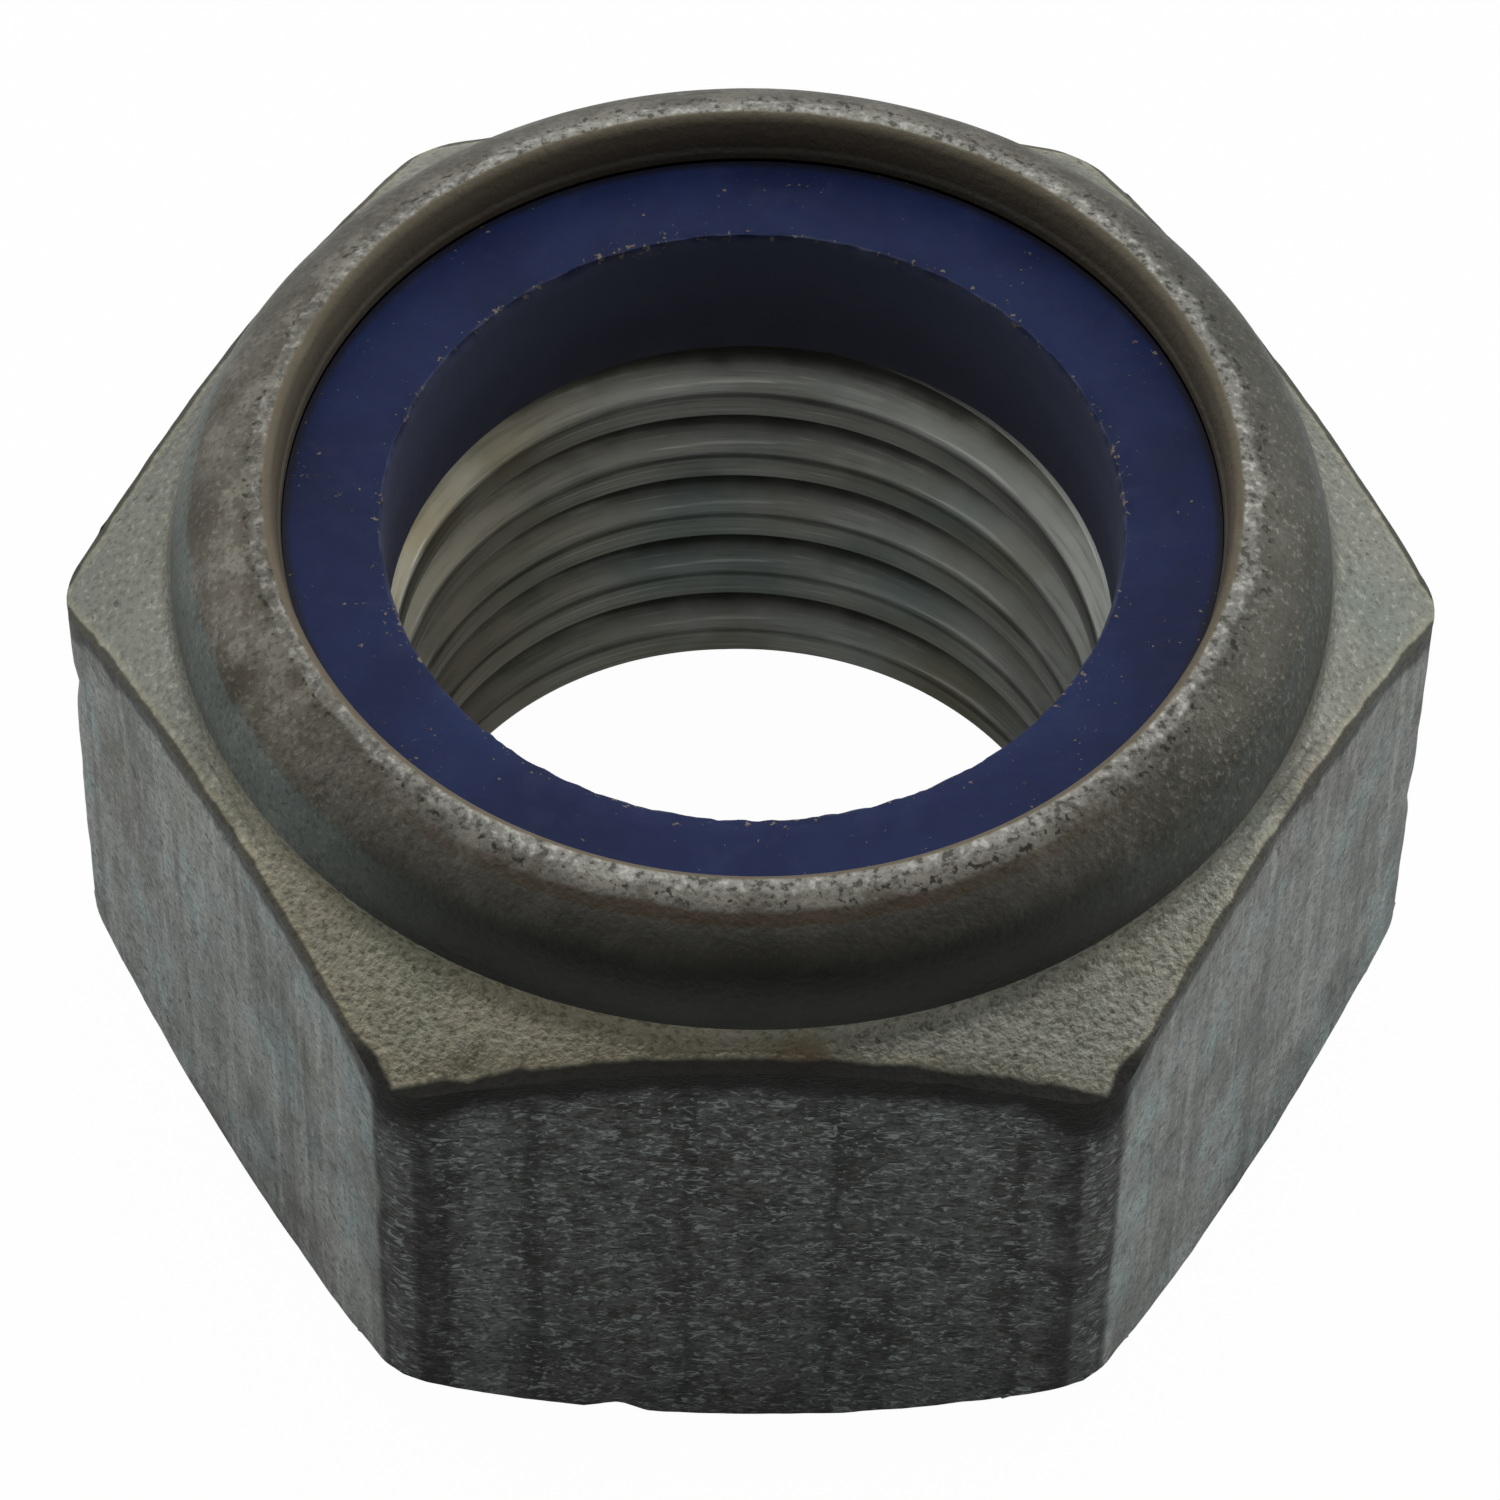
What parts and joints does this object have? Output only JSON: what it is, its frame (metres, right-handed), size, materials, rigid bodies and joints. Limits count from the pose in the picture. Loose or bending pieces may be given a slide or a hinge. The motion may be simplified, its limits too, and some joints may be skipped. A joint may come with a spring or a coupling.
{
  "type": "nylon insert lock nut",
  "caption": "Hexagonal steel lock nut whose rolled collar holds a nylon ring above the thread, so that a bolt screwed through it does not work loose.",
  "frame": {"origin": "centre of the flat bearing face, on the thread's axis", "axes": "+Z along the thread's axis, from the bearing face towards the collar; +X through two corners of the hexagon; -Y through the middle of a flat"},
  "size_m": [0.0342, 0.03, 0.0195],
  "materials": {
    "plated_steel": "dull zinc plate with worn edges",
    "nylon": "moulded, semi-matt dark blue"
  },
  "bodies": {
    "root": {"nut_body": "plated_steel", "nylon_insert": "nylon"}
  },
  "joints": []
}
